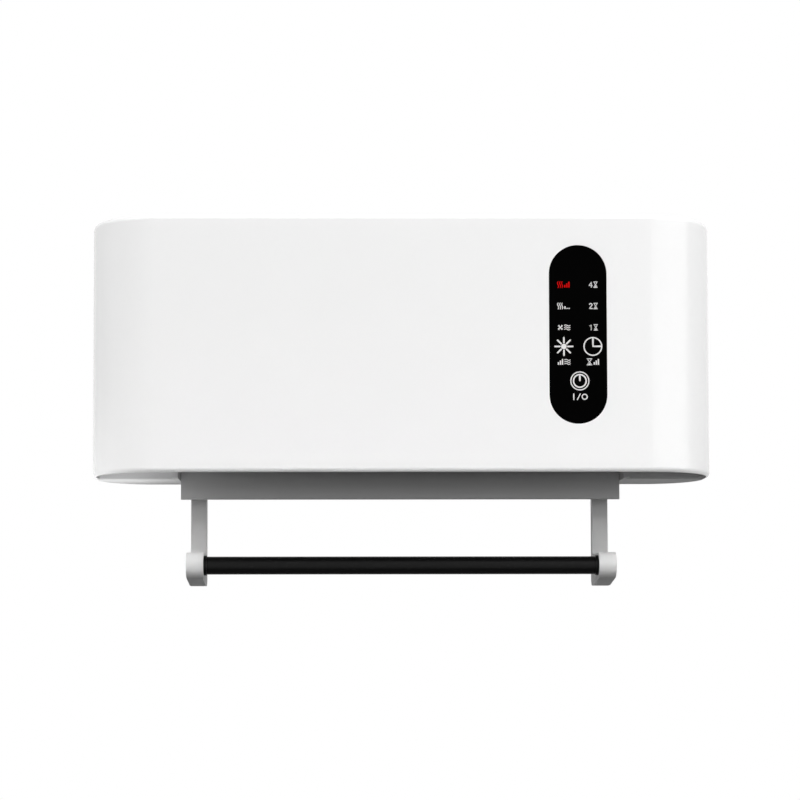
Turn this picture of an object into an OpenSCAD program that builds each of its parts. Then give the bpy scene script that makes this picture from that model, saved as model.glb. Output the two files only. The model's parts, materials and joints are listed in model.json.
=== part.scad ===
// Wall fan heater for a bathroom, with a towel rack under its air outlet.
// X runs to the right, the front faces -Y and Z is up. The origin is on the wall,
// at the centre of the wall plate's screw pattern. All sizes are in millimetres.

/* [Body] */
// Width of the body
body_w = 450; // [440:1:480]
// Height of the body
body_h = 183; // [180:1:210]
// Depth of the body, from the wall to the front
body_d = 105; // [104:1:115]
// Depth of the front cover, from the front to the parting line
cover_d = 49; // [48.5:0.5:50]
// Plan radius of the front cover's corners
front_r = 48; // [40:1:48]
// Plan radius of the rear housing's corners
rear_r = 40; // [30:1:44]
// Wall of the mouldings
wall = 2.5; // [2.2:0.1:2.8]
// Height over which the top and bottom edges curve in
edge_r = 3; // [1.5:0.5:4]
// Room on each side of the air duct, for the motor and the power board
side_bay = 77; // [76:1:80]
// Joint gap between the cover and the rear housing
seam = 0.3; // [0.2:0.05:0.5]
// Height of the bottom panel above the underside
panel_h = 5.5; // [4:0.5:7]
// Thickness of the bottom panel
panel_t = 2; // [1.5:0.1:2.5]
// How far the bottom panel reaches under the rear housing, beside the outlet
panel_in = 10.5; // [8:0.5:13]

/* [Air outlet] */
// Distance from each end of the outlet to the side of the body
outlet_side = 61.5; // [58:0.5:66]
// Depth of the outlet, front to back
outlet_d = 28; // [26:1:32]
// How far the open flap reaches below the body
flap_drop = 14; // [10:0.1:16]
// Thickness of the flap
flap_t = 3; // [2:0.5:4]
// Height of the flap's pivot above the underside
pivot_h = 9.5; // [8:0.5:11]
// Gap at each end of the flap
flap_gap = 0.5; // [0.3:0.1:1]
// Gap behind the open flap
flap_back = 2; // [1.5:0.5:3]
// Radius of the flap's pivot pins
pin_r = 2; // [1.5:0.25:2.5]

/* [Controls] */
// Width of the control lens
lens_w = 40.8; // [36:0.2:44]
// Height of the control lens
lens_h = 127.5; // [120:0.5:132]
// How far the lens lies behind the front face
lens_set = 0.3; // [0.1:0.1:0.6]
// Centre of the control lens to the right of the middle
lens_x = 124.5; // [110:0.1:130]
// Centre of the control lens above the middle
lens_z = 6.2; // [0:0.1:10]
// Distance of the lamps from the lens's middle line
lamp_dx = 10.5; // [9:0.1:12]
// Height between one row of lamps and the next
lamp_pitch = 15.2; // [14:0.1:16]

/* [Air path] */
// Fan axis, distance from the wall
fan_off = 46; // [45:0.5:48]
// Fan axis, height above the middle
fan_z = 38; // [34:0.5:42]
// Outer radius of the fan wheel
fan_r = 30; // [26:0.5:30]
// Number of blades on the fan wheel
blades = 32; // [24:1:36]
// Radius of the scroll behind the fan wheel
scroll_r = 34; // [33:0.5:34]
// Sheet thickness of the air duct
sheet = 1.5; // [1:0.1:2]
// Depth of the heating element, front to back
element_d = 52; // [46:1:52]
// Height of the heating element
element_h = 28; // [24:1:30]
// Radius of the fan's shafts
shaft_r = 3; // [2.5:0.5:4]

/* [Towel rack] */
// Distance from the middle of each arm to the side of the body
arm_side = 73.6; // [72:0.1:80]
// Width of the arms
arm_w = 11.8; // [11:0.1:13]
// Thickness of the arms against the wall
arm_t = 7.8; // [6:0.1:9]
// Bottom of the arms below the underside of the body
arm_drop = 77.4; // [65:0.1:90]
// Diameter of the towel bar
bar_d = 13.2; // [10:0.1:14]
// Bar axis, distance from the wall
bar_off = 48; // [45:0.5:60]
// Outer radius of the bar's sockets
socket_r = 9.6; // [9:0.1:10]
// Depth of the bar in its sockets
bar_in = 8; // [6:0.5:8]

/* [Wall plate] */
// Distance from each column of wall screws to the side of the body
screw_side = 115; // [115:1:135]
// Spacing of the wall screws up and down
screw_dz = 90; // [70:5:90]
// Radius of the wall screw holes
screw_r = 2.75; // [2:0.25:3]
// Thickness of the wall plate
plate_t = 1.5; // [1:0.1:2]

/* [Hidden] */
$fn = 96;

top_z = body_h / 2;
base_z = -body_h / 2;
rear_d = body_d - cover_d;
part_y = -rear_d;
front_in_y = -body_d + wall;
back_in_y = -wall;
// a running fit, a fit of pieces that drop into a window, and a small overlap that joins two solids
screw_gap = 0.05;
fit_gap = 0.3;
join = 0.5;

// screws: shank radius, head radius, head height and radius of the hole that it passes through
large_screw = [1.95, 3.8, 2.3, 2.2];
panel_screw = [1.45, 2.8, 1.8, 1.7];
small_screw = [1.25, 2.6, 1.6, 1.6];

// air outlet
outlet_w = body_w - 2 * outlet_side;
outlet_back_y = part_y + outlet_d;
pivot_y = outlet_back_y - flap_back - flap_t / 2;
pivot_z = base_z + pivot_h;
flap_w = outlet_w - 2 * flap_gap;
ceiling_h = pivot_h + 8;
ceiling_z = base_z + ceiling_h;
ceiling_t = 2;
mouth_z = ceiling_z + ceiling_t;
mouth_back_y = pivot_y - 0.5;
mouth_front_y = part_y + 0.5;

// bottom panel
panel_z = base_z + panel_h;
edge_arc = 1.45;
cheek_front_y = part_y + 4;
panel_back_y = part_y + panel_in;

// air duct
duct_w = body_w - 2 * side_bay;
fan_y = -fan_off;
half_d = element_d / 2;
scroll_a = acos(half_d / scroll_r);
end_t = 2;
end_x = duct_w / 2 + end_t;
element_z = fan_z - scroll_r - element_h / 2 - 18;
taper_z = element_z - element_h / 2 - 2;
tongue_z = fan_z - sqrt(pow(scroll_r - 1, 2) - pow(half_d, 2));

// fan wheel and its bearings
wheel_gap = 6;
wheel_w = duct_w - 2 * wheel_gap;
motor_stand = 8;
motor_x = end_x + motor_stand;
motor_r = 26;
motor_l = 38;
seat_r = 11;
bearing_r = 6;

// screw posts between cover and housing
post_side = 47;
post_x = body_w / 2 - post_side;
post_z = top_z - 15.5;
post_screw_l = 20;
post_r = 5;
tube_r = 6.5;
floor_y = part_y + 6;

// bottom panel's bosses
boss_r = 4.5;
boss_l = 12;
corner_a = 55;
boss_arc = front_r - wall - boss_r + 0.8;
boss_far = [body_w / 2 - front_r + boss_arc * cos(corner_a), front_r - body_d - boss_arc * sin(corner_a)];
boss_near = [body_w / 6, front_in_y + boss_r - 1];

// control board
flange_t = 1.2;
flange_w = 2.2;
baffle_t = 6;
pcb_t = 1.6;
board_y = front_in_y + flange_t + baffle_t;
board_rim = 8;
board_w = lens_w + 2 * board_rim;
board_h = lens_h + 2 * board_rim;
board_post_r = 3.2;
lamp_top = 35.5;
pad_row = -8.5;
power_row = -33;
pad_r = 6;

// inlet window in the top of the rear housing
inlet_rim = 1.5;
inlet_w = duct_w + 4;
inlet_front_y = part_y + 8;
inlet_back_y = -10;
inlet_d = inlet_back_y - inlet_front_y;

// wall plate
screw_dx = body_w - 2 * screw_side;
plate_rim = 15;
plate_w = screw_dx + 2 * plate_rim;
plate_h = screw_dz + 2 * plate_rim;
plate_window = [44, 36];
pan_t = 2.5;
pan_gap = 1;
pan_y = -plate_t - 0.7;
hook_x = screw_dx / 2 - 40;
hook_z = 30;
hook_w = 16;
hook_rise = 7;

// towel rack
arm_x = body_w / 2 - arm_side;
bar_y = -bar_off;
bar_r = bar_d / 2;
arm_bottom = base_z - arm_drop;
bar_rise = 13.6;
bar_z = arm_bottom + bar_rise;
arm_gap = 0.2;
arm_in = 40;
arm_top = base_z + arm_in;
arm_fit = 0.25;
arm_screw_z = [base_z + 12, base_z + 30];
arm_boss_l = 5;
arm_head = 2.6;

// power board, its edge set in from the side of the body
supply_side = 17;
supply_z = 12;
supply_w = 44;
supply_h = 100;
supply_x = -body_w / 2 + supply_side + supply_w / 2;
supply_post = 12;
supply_y = back_in_y - supply_post;

// feet of the scroll case
foot_z = [base_z + 50, base_z + 96];
foot_h = 12;
foot_l = 12;
foot_t = 2;
foot_boss = 5.5;
foot_y = back_in_y - foot_boss;

// cable entry
grommet_side = 107;
grommet_x = -body_w / 2 + grommet_side;
grommet_z = base_z + 15.5;
grommet_r = 7;
cable_r = 4;

// ---------------------------------------------------------------- shapes

// flat shapes drawn in Y and Z, each carried along X from x0 to x1
module along_x(x0, x1) {
    for (i = [0 : $children - 1]) {
        translate([x0, 0, 0]) rotate([90, 0, 90]) linear_extrude(x1 - x0) children(i);
    }
}

// a flat shape drawn in X and Z, carried along Y from y0 to y1
module along_y(y0, y1) {
    translate([0, y1, 0]) rotate([90, 0, 0]) linear_extrude(y1 - y0) children();
}

module box(x, y, z) {
    translate([x[0], y[0], z[0]]) cube([x[1] - x[0], y[1] - y[0], z[1] - z[0]]);
}

// a round rod along X, Y or Z between two places
module rod_x(x0, x1, y, z, r) {
    translate([x0, y, z]) rotate([0, 90, 0]) cylinder(h = x1 - x0, r = r);
}

module rod_y(x, y0, y1, z, r) {
    translate([x, y1, z]) rotate([90, 0, 0]) cylinder(h = y1 - y0, r = r);
}

module rod_z(x, y, z0, z1, r) {
    translate([x, y, z0]) cylinder(h = z1 - z0, r = r);
}

module both_sides() {
    children();
    mirror([1, 0, 0]) children();
}

// a section out to u and from z0 to z1, whose two outer edges curve in over a height r
module edge_section(u, z0, z1, r) {
    arc = edge_arc * r;
    intersection() {
        translate([0, z0]) square([u, z1 - z0]);
        union() {
            translate([0, z0]) square([u - arc, z1 - z0]);
            translate([0, z0 + r]) square([u, z1 - z0 - 2 * r]);
            for (z = [z0 + r, z1 - r]) translate([u - arc, z]) circle(arc);
        }
    }
}

// half of the body: a straight wall with a round corner at each end, g inside the outer face
module d_form(corner_r, d, g, z0, z1, over = 0) {
    half = body_w / 2 - g;
    r = corner_r - g;
    depth = d - g;
    er = max(edge_r - g, 0.4);
    along_x(-(half - r), half - r)
        translate([over, 0]) mirror([1, 0]) edge_section(depth + over, z0, z1, er);
    both_sides() {
        translate([half - r, -(depth - r), 0]) rotate([0, 0, 270])
            rotate_extrude(angle = 90) edge_section(r, z0, z1, er);
        translate([half - r, 0, 0]) along_y(-(depth - r), over) edge_section(r, z0, z1, er);
    }
}

// the space inside the front half, g inside its outer face
module front_form(g, z0, z1, over = 0) {
    translate([0, part_y, 0]) d_form(front_r, cover_d, g, z0, z1, over);
}

// the space inside the rear half
module rear_form(g, z0, z1, over = 0) {
    translate([0, part_y, 0]) mirror([0, 1, 0]) d_form(rear_r, rear_d, g, z0, z1, over);
}

// an upright pill in X and Z
module pill(w, h) {
    for (s = [-1, 1]) translate([0, s * (h - w) / 2]) circle(w / 2);
    translate([-w / 2, -(h - w) / 2]) square([w, h - w]);
}

// a slot with round ends, along X
module slot(l, w) {
    for (s = [-1, 1]) translate([s * (l - w) / 2, 0]) circle(w / 2);
    translate([-(l - w) / 2, -w / 2]) square([l - w, w]);
}

// a screw along Z: the head's underside is at 0 and the shank goes down
module screw(kind, l) {
    shank_r = kind[0];
    head_r = kind[1];
    head_h = kind[2];
    cross_w = head_r * 0.22;
    difference() {
        cylinder(h = head_h, r = head_r);
        for (a = [0, 90]) {
            rotate([0, 0, a]) translate([-head_r * 0.6, -cross_w / 2, head_h * 0.6])
                cube([head_r * 1.2, cross_w, head_h]);
        }
    }
    translate([0, 0, -l]) cylinder(h = l + join, r = shank_r);
}

// a screw that goes towards +Y
module screw_to_back(y, kind, l) {
    translate([0, y, 0]) rotate([90, 0, 0]) screw(kind, l);
}

// a screw that goes towards -Y
module screw_to_front(y, kind, l) {
    translate([0, y, 0]) rotate([-90, 0, 0]) screw(kind, l);
}

module at_posts() {
    for (x = [-post_x, post_x], z = [-post_z, post_z]) translate([x, 0, z]) children();
}

// the four bosses of the bottom panel: two at the corners, two on the straight front
module at_panel_bosses() {
    for (s = [-1, 1], p = [boss_far, boss_near]) translate([s * p[0], p[1], 0]) children();
}

module at_board_posts() {
    for (x = [-1, 1], z = [-1, 1]) {
        translate([lens_x + x * (board_w / 2 - 4), 0, lens_z + z * (board_h / 2 - 4)]) children();
    }
}

module at_lamps() {
    for (s = [-1, 1], i = [0 : 2]) {
        translate([lens_x + s * lamp_dx, 0, lens_z + lamp_top - i * lamp_pitch]) children();
    }
}

module at_pads() {
    for (p = [[-lamp_dx, pad_row], [lamp_dx, pad_row], [0, power_row]]) {
        translate([lens_x + p[0], 0, lens_z + p[1]]) children();
    }
}

module at_supply_posts() {
    for (x = [-1, 1], z = [-1, 1]) {
        translate([supply_x + x * (supply_w / 2 - 5), 0, supply_z + z * (supply_h / 2 - 5)]) children();
    }
}

module at_feet() {
    for (s = [-1, 1], z = foot_z) translate([s * (end_x + foot_l / 2), 0, z]) children();
}

// ---------------------------------------------------------------- shells

module front_cover() {
    color([0.95, 0.95, 0.94]) difference() {
        union() {
            difference() {
                front_form(0, base_z, top_z);
                front_form(wall, base_z - 20, top_z - wall, 5);
                box([-body_w, body_w], [part_y - seam, 0], [base_z - 1, top_z + 1]);
            }
            intersection() {
                front_form(wall / 2, base_z + edge_r, top_z - wall / 2, 0);
                union() {
                    at_posts() rod_y(0, -body_d, part_y + fit_gap, 0, post_r);
                    at_panel_bosses() rod_z(0, 0, panel_z + panel_t, panel_z + panel_t + boss_l, boss_r);
                    at_board_posts() rod_y(0, -body_d, board_y, 0, board_post_r);
                }
            }
        }
        translate([lens_x, 0, lens_z]) along_y(-body_d - 1, front_in_y + 1)
            pill(lens_w + fit_gap, lens_h + fit_gap);
        at_posts() rod_y(0, floor_y - post_screw_l - 1, part_y + 1, 0, large_screw[0] + screw_gap);
        at_panel_bosses() rod_z(0, 0, panel_z, panel_z + panel_t + boss_l - 2, panel_screw[0] + screw_gap);
        at_board_posts() rod_y(0, front_in_y + flange_t - 0.5, board_y + 1, 0, small_screw[0] + screw_gap);
    }
}

// the pocket that the flap folds into, with the cheeks that carry its pins
module flap_pocket() {
    cheek_x = outlet_w / 2;
    both_sides() difference() {
        box([cheek_x, cheek_x + wall], [part_y, outlet_back_y + wall], [base_z, mouth_z]);
        rod_x(cheek_x - 1, cheek_x + wall + 1, pivot_y, pivot_z, pin_r + screw_gap);
    }
    box([-cheek_x - wall, cheek_x + wall], [outlet_back_y, outlet_back_y + wall], [base_z, mouth_z]);
    difference() {
        box([-cheek_x - wall, cheek_x + wall], [part_y, outlet_back_y + wall], [ceiling_z, mouth_z]);
        box([-duct_w / 2, duct_w / 2], [part_y - 1, mouth_back_y], [ceiling_z - 1, mouth_z + 1]);
    }
}

// one pocket in the back for a towel arm, with its two screw bosses
module arm_pocket_solid() {
    box([arm_x - arm_w / 2 - arm_fit - wall, arm_x + arm_w / 2 + arm_fit + wall],
        [-arm_gap - arm_t - arm_fit - wall, -wall / 2], [base_z + wall / 2, arm_top + arm_fit + wall]);
    for (z = arm_screw_z) {
        rod_y(arm_x, -arm_gap - arm_t - arm_fit - wall - arm_boss_l, -arm_gap - arm_t, z, 4);
    }
}

module arm_pocket_space() {
    box([arm_x - arm_w / 2 - arm_fit, arm_x + arm_w / 2 + arm_fit],
        [-arm_gap - arm_t, 1], [base_z - 1, arm_top + arm_fit]);
    for (z = arm_screw_z) {
        rod_y(arm_x, -arm_gap - arm_t - wall - arm_boss_l + 1, 0, z, large_screw[0] + screw_gap);
    }
}

// the recess for the wall plate and the slots that hang on its hooks
module pan_solid() {
    w = plate_w / 2 + pan_gap + pan_t;
    h = plate_h / 2 + pan_gap + pan_t;
    box([-w, w], [pan_y - pan_t, -wall / 2], [-h, h]);
}

module pan_space() {
    w = plate_w / 2 + pan_gap;
    h = plate_h / 2 + pan_gap;
    box([-w, w], [pan_y, 1], [-h, h]);
    for (s = [-1, 1]) {
        box([s * hook_x - hook_w / 2 - pan_gap, s * hook_x + hook_w / 2 + pan_gap],
            [pan_y - pan_t - 1, 1], [hook_z - hook_rise - 1, hook_z + plate_t]);
    }
    for (x = [-1, 1], z = [-1, 1]) {
        rod_y(x * screw_dx / 2, pan_y - pan_t - 1, 1, z * screw_dz / 2, screw_r + 4.5);
    }
}

// a lip inside the parting line that centres the cover
module centring_lip() {
    lip_l = 4;
    lip_t = 1.3;
    low = panel_z + panel_t + 4;
    intersection() {
        box([-body_w, body_w], [part_y - lip_l, part_y + lip_l], [low, top_z]);
        difference() {
            front_form(wall + 0.15, base_z, top_z - wall - 0.15, lip_l);
            front_form(wall + 0.15 + lip_t, base_z - 5, top_z - wall - 0.15 - lip_t, lip_l + 1);
        }
    }
    intersection() {
        box([-body_w, body_w], [part_y, part_y + lip_l], [low, top_z]);
        difference() {
            rear_form(wall / 2, base_z, top_z - wall / 2, 0);
            rear_form(wall + 0.15 + lip_t, base_z - 5, top_z - wall - 0.15 - lip_t, 1);
        }
    }
}

module rear_housing() {
    color([0.93, 0.93, 0.92]) difference() {
        union() {
            difference() {
                rear_form(0, base_z, top_z);
                rear_form(wall, base_z + wall, top_z - wall, 5);
            }
            centring_lip();
            flap_pocket();
            both_sides() arm_pocket_solid();
            pan_solid();
            intersection() {
                rear_form(wall / 2, base_z, top_z - wall / 2, 0);
                union() {
                    at_posts() rod_y(0, part_y + fit_gap, 1, 0, tube_r);
                    at_supply_posts() rod_y(0, supply_y, 1, 0, 3);
                    at_feet() rod_y(0, foot_y, 1, 0, 5);
                    rod_y(grommet_x, back_in_y - 2, 1, grommet_z, grommet_r + 2);
                }
            }
        }
        box([-outlet_w / 2, outlet_w / 2], [part_y - 1, outlet_back_y], [base_z - 1, ceiling_z]);
        both_sides() {
            box([outlet_w / 2 + wall, body_w / 2 - wall], [part_y - 1, panel_back_y], [base_z - 1, panel_z]);
            box([outlet_w / 2 - 1, outlet_w / 2 + wall + 1], [part_y - 1, cheek_front_y],
                [base_z - 1, panel_z]);
        }
        box([-inlet_w / 2, inlet_w / 2], [inlet_front_y, inlet_back_y], [top_z - 2 * wall, top_z + 1]);
        both_sides() arm_pocket_space();
        pan_space();
        at_posts() {
            rod_y(0, floor_y, 1, 0, tube_r - 2);
            rod_y(0, part_y - 1, 0, 0, large_screw[3]);
        }
        at_supply_posts() rod_y(0, supply_y - 1, back_in_y - 1, 0, small_screw[0] + screw_gap);
        at_feet() rod_y(0, foot_y - 1, back_in_y, 0, large_screw[0] + screw_gap);
        rod_y(grommet_x, -wall - 3, 1, grommet_z, grommet_r - 1);
    }
}

module bottom_panel() {
    lip_t = 2;
    back = part_y - seam;
    side_back = panel_back_y - seam;
    end_back = cheek_front_y - seam;
    corner = outlet_w / 2 + wall + seam + lip_t;
    lip_z = base_z + 0.5;
    color([0.2, 0.2, 0.21]) difference() {
        union() {
            intersection() {
                front_form(wall + 0.2, panel_z - 10, top_z, panel_in);
                union() {
                    box([-body_w, body_w], [-body_d, back], [panel_z, panel_z + panel_t]);
                    both_sides() {
                        box([outlet_w / 2 + wall + seam, body_w / 2], [back - 1, side_back],
                            [panel_z, panel_z + panel_t]);
                        box([outlet_w / 2 + wall + seam, body_w / 2], [side_back - lip_t, side_back],
                            [lip_z, panel_z + panel_t]);
                        box([outlet_w / 2, corner], [end_back - lip_t, end_back], [lip_z, panel_z - seam]);
                        box([corner - lip_t, corner], [end_back - lip_t, side_back],
                            [lip_z, panel_z + panel_t]);
                    }
                }
            }
            box([-outlet_w / 2, outlet_w / 2], [back - lip_t, back], [panel_z, mouth_z]);
        }
        at_panel_bosses() rod_z(0, 0, panel_z - 1, panel_z + panel_t + 1, panel_screw[3]);
    }
}

// ---------------------------------------------------------------- air inlet

module inlet_grille() {
    pitch = 7.5;
    n = floor((inlet_w - 12) / pitch / 2);
    slot_l = (inlet_d - 10) / 2;
    mid_y = (inlet_front_y + inlet_back_y) / 2;
    flange = 2.5;
    color([0.93, 0.93, 0.92]) difference() {
        union() {
            box([-inlet_w / 2 + fit_gap, inlet_w / 2 - fit_gap],
                [inlet_front_y + fit_gap, inlet_back_y - fit_gap], [top_z - wall - join, top_z]);
            box([-inlet_w / 2 - flange, inlet_w / 2 + flange],
                [inlet_front_y - flange, inlet_back_y + flange], [top_z - wall - inlet_rim, top_z - wall]);
        }
        for (i = [-n : n], s = [-1, 1]) {
            translate([i * pitch, mid_y + s * (slot_l / 2 + 1.2), top_z - 2 * wall])
                linear_extrude(3 * wall) rotate(90) slot(slot_l, 4.6);
        }
    }
}

module dust_filter() {
    z1 = top_z - wall - inlet_rim;
    frame_h = 2.5;
    mesh_h = 0.9;
    rib = 1.2;
    rim = 4;
    cols = 24;
    rows = 3;
    cell_w = (inlet_w - 2 * rim) / cols;
    cell_d = (inlet_d - 2 * rim) / rows;
    color([0.25, 0.25, 0.27]) {
        difference() {
            box([-inlet_w / 2, inlet_w / 2], [inlet_front_y, inlet_back_y], [z1 - frame_h, z1]);
            box([-inlet_w / 2 + rim, inlet_w / 2 - rim], [inlet_front_y + rim, inlet_back_y - rim],
                [z1 - frame_h + mesh_h, z1 + 1]);
            for (i = [0 : cols - 1], j = [0 : rows - 1]) {
                translate([-inlet_w / 2 + rim + i * cell_w + rib / 2,
                        inlet_front_y + rim + j * cell_d + rib / 2, z1 - 2 * frame_h])
                    cube([cell_w - rib, cell_d - rib, 2 * frame_h]);
            }
        }
    }
}

// ---------------------------------------------------------------- controls

module control_lens() {
    color([0.02, 0.02, 0.03]) translate([lens_x, 0, lens_z]) {
        along_y(lens_set - body_d, front_in_y + join) pill(lens_w, lens_h);
        along_y(front_in_y, front_in_y + flange_t) pill(lens_w + 2 * flange_w, lens_h + 2 * flange_w);
    }
}

module light_baffle() {
    y0 = front_in_y + flange_t;
    window = [15, 9];
    color([0.85, 0.85, 0.85]) difference() {
        translate([lens_x, 0, lens_z]) along_y(y0, board_y) pill(lens_w, lens_h);
        at_lamps() box([-window[0] / 2, window[0] / 2], [y0 - 1, board_y + 1],
            [-window[1] / 2, window[1] / 2]);
        at_pads() rod_y(0, y0 - 1, board_y + 1, 0, pad_r + 0.6);
    }
}

// a board with its controller chip and the socket for its cable on the back
module control_board() {
    chip = [14, 1.5, 14];
    socket = [20, 5, 6];
    back = board_y + pcb_t;
    color([0.05, 0.3, 0.15]) difference() {
        translate([lens_x, 0, lens_z]) union() {
            box([-board_w / 2, board_w / 2], [board_y, back], [-board_h / 2, board_h / 2]);
            box([-chip[0] / 2, chip[0] / 2], [back - join, back + chip[1]], [0, chip[2]]);
            box([-socket[0] / 2, socket[0] / 2], [back - join, back + socket[1]],
                [board_rim * 2 - board_h / 2 - socket[2] / 2, board_rim * 2 - board_h / 2 + socket[2] / 2]);
        }
        at_board_posts() rod_y(0, board_y - 1, back + 1, 0, small_screw[3]);
    }
}

module indicator_lamps() {
    color([0.9, 0.3, 0.25]) at_lamps() {
        for (x = [-3, 3]) box([x - 1.6, x + 1.6], [board_y - 1.2, board_y], [-0.8, 0.8]);
    }
}

module touch_pads() {
    color([0.15, 0.15, 0.15]) at_pads() rod_y(0, front_in_y + flange_t, board_y, 0, pad_r);
}

// ---------------------------------------------------------------- air duct

// side view of one end plate of the duct
module end_outline() {
    translate([fan_y, fan_z]) circle(scroll_r + 3);
    translate([fan_y - half_d - 3, mouth_z]) square([element_d + 6, fan_z - mouth_z]);
}

// side view of the sheet behind the fan, the element and the outlet
module scroll_sheet() {
    intersection() {
        translate([fan_y, fan_z]) difference() {
            circle(scroll_r + sheet);
            circle(scroll_r);
        }
        translate([fan_y, fan_z]) polygon([[0, 0], [60, -60 * tan(scroll_a)], [60, 60], [12, 60]]);
    }
    arc_z = fan_z - scroll_r * sin(scroll_a);
    y0 = fan_y + half_d;
    polygon([[y0, arc_z + 1], [y0, taper_z], [mouth_back_y, mouth_z], [mouth_back_y + sheet, mouth_z],
        [y0 + sheet, taper_z], [y0 + sheet, arc_z + 1]]);
}

module scroll_case() {
    color([0.8, 0.81, 0.82]) difference() {
        union() {
            along_x(-duct_w / 2 - join, duct_w / 2 + join) scroll_sheet();
            both_sides() {
                along_x(duct_w / 2, end_x) end_outline();
                for (z = foot_z) {
                    box([duct_w / 2, end_x], [fan_y + half_d, foot_y], [z - foot_h / 2, z + foot_h / 2]);
                    box([end_x - join, end_x + foot_l], [foot_y - foot_t, foot_y],
                        [z - foot_h / 2, z + foot_h / 2]);
                }
            }
        }
        rod_x(-end_x - 1, -duct_w / 2 + 1, fan_y, fan_z, seat_r + screw_gap);
        rod_x(duct_w / 2 - 1, end_x + 1, fan_y, fan_z, seat_r + 1);
        at_feet() rod_y(0, foot_y - foot_t - 1, foot_y + 1, 0, large_screw[3]);
    }
}

module air_tongue() {
    y1 = fan_y - half_d;
    color([0.8, 0.81, 0.82]) along_x(-duct_w / 2, duct_w / 2) {
        polygon([[y1, tongue_z], [y1, taper_z], [mouth_front_y, mouth_z], [mouth_front_y - sheet, mouth_z],
            [y1 - sheet, taper_z], [y1 - sheet, tongue_z]]);
        translate([y1 - sheet / 2, tongue_z]) circle(sheet / 2);
        translate([y1 - 11, tongue_z - 3]) square([11, sheet]);
    }
}

// one forward-curved blade, seen along the axis
module blade() {
    curve_r = 9;
    blade_t = 1.1;
    mid_r = fan_r - 4.5;
    intersection() {
        translate([mid_r - 2, -curve_r + 0.6]) difference() {
            circle(curve_r + blade_t / 2);
            circle(curve_r - blade_t / 2);
        }
        translate([mid_r - 6, -4]) square([12, 12]);
        difference() {
            circle(fan_r - 0.4);
            circle(fan_r - 9);
        }
    }
}

module fan_wheel() {
    discs = 5;
    disc_t = 2;
    hub_l = 14;
    color([0.3, 0.32, 0.35]) translate([0, fan_y, fan_z]) difference() {
        union() {
            rotate([90, 0, 90]) translate([0, 0, -wheel_w / 2]) linear_extrude(wheel_w) {
                for (i = [0 : blades - 1]) rotate(i * 360 / blades) blade();
            }
            for (i = [0 : discs - 1]) {
                x = -wheel_w / 2 + i * (wheel_w - disc_t) / (discs - 1);
                end = i == 0 || i == discs - 1;
                difference() {
                    rod_x(x, x + disc_t, 0, 0, fan_r);
                    if (!end) rod_x(x - 1, x + disc_t + 1, 0, 0, fan_r - 10);
                }
            }
            for (s = [0, 1]) {
                x = s == 0 ? -wheel_w / 2 : wheel_w / 2 - hub_l;
                rod_x(x, x + hub_l, 0, 0, 8);
            }
        }
        for (s = [-1, 1]) {
            rod_x(s * wheel_w / 2 - hub_l - 1, s * wheel_w / 2 + hub_l + 1, 0, 0, shaft_r + screw_gap);
        }
    }
}

module fan_shafts() {
    hub_l = 12;
    color([0.75, 0.75, 0.77]) {
        rod_x(-end_x - 8, -wheel_w / 2 + hub_l, fan_y, fan_z, shaft_r);
        rod_x(wheel_w / 2 - hub_l, motor_x + motor_l - 4, fan_y, fan_z, shaft_r);
    }
}

module fan_bearing() {
    color([0.7, 0.5, 0.3]) difference() {
        rod_x(-end_x - 7, -duct_w / 2 + 1, fan_y, fan_z, bearing_r);
        rod_x(-end_x - 8, -duct_w / 2 + 2, fan_y, fan_z, shaft_r + screw_gap);
    }
}

module bearing_seat() {
    color([0.1, 0.1, 0.1]) difference() {
        union() {
            rod_x(-end_x - 6, -duct_w / 2, fan_y, fan_z, seat_r);
            rod_x(-end_x - 3, -end_x, fan_y, fan_z, seat_r + 3);
        }
        rod_x(-end_x - 7, -duct_w / 2 + 1, fan_y, fan_z, bearing_r);
    }
}

module fan_motor() {
    color([0.6, 0.6, 0.62]) difference() {
        union() {
            rod_x(motor_x, motor_x + motor_l, fan_y, fan_z, motor_r);
            rod_x(motor_x + motor_l - join, motor_x + motor_l + 5, fan_y, fan_z, motor_r * 0.6);
            rod_x(end_x + 2, motor_x + join, fan_y, fan_z, seat_r);
        }
        rod_x(end_x - 1, motor_x + motor_l - 3, fan_y, fan_z, shaft_r + screw_gap);
        for (a = [0 : 30 : 330]) {
            translate([motor_x + motor_l / 2, fan_y, fan_z]) rotate([a, 0, 0])
                translate([0, 0, motor_r]) cube([motor_l - 10, 4, 3], center = true);
        }
    }
}

module motor_bracket() {
    stand_r = 3.5;
    color([0.7, 0.71, 0.73]) difference() {
        union() {
            translate([motor_x - 2, fan_y, fan_z]) rotate([90, 0, 90]) linear_extrude(2) {
                circle(motor_r + 2);
                for (a = [45 : 90 : 315]) rotate(a) translate([motor_r - 1, 0]) circle(stand_r + 1);
            }
            for (a = [45 : 90 : 315]) {
                rod_x(end_x, motor_x - join, fan_y + (motor_r - 1) * cos(a), fan_z + (motor_r - 1) * sin(a),
                    stand_r);
            }
        }
        rod_x(end_x, motor_x + 1, fan_y, fan_z, seat_r + 0.3);
    }
}

// ---------------------------------------------------------------- heating element

rim_x = 8;
rim_y = 4;

module element_frame() {
    color([0.75, 0.68, 0.5]) difference() {
        box([-duct_w / 2, duct_w / 2], [fan_y - half_d, fan_y + half_d],
            [element_z - element_h / 2, element_z + element_h / 2]);
        box([-duct_w / 2 + rim_x, duct_w / 2 - rim_x], [fan_y - half_d + rim_y, fan_y + half_d - rim_y],
            [element_z - element_h, element_z + element_h]);
    }
}

bars = 3;
bar_t = 6;
bar_h = element_h - 4;
fin_h = bar_h - 2;
core_w = duct_w - 2 * rim_x;
core_d = element_d - 2 * rim_y;
fin_d = (core_d - bars * bar_t) / (bars + 1);
core_y = fan_y - core_d / 2;

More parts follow.
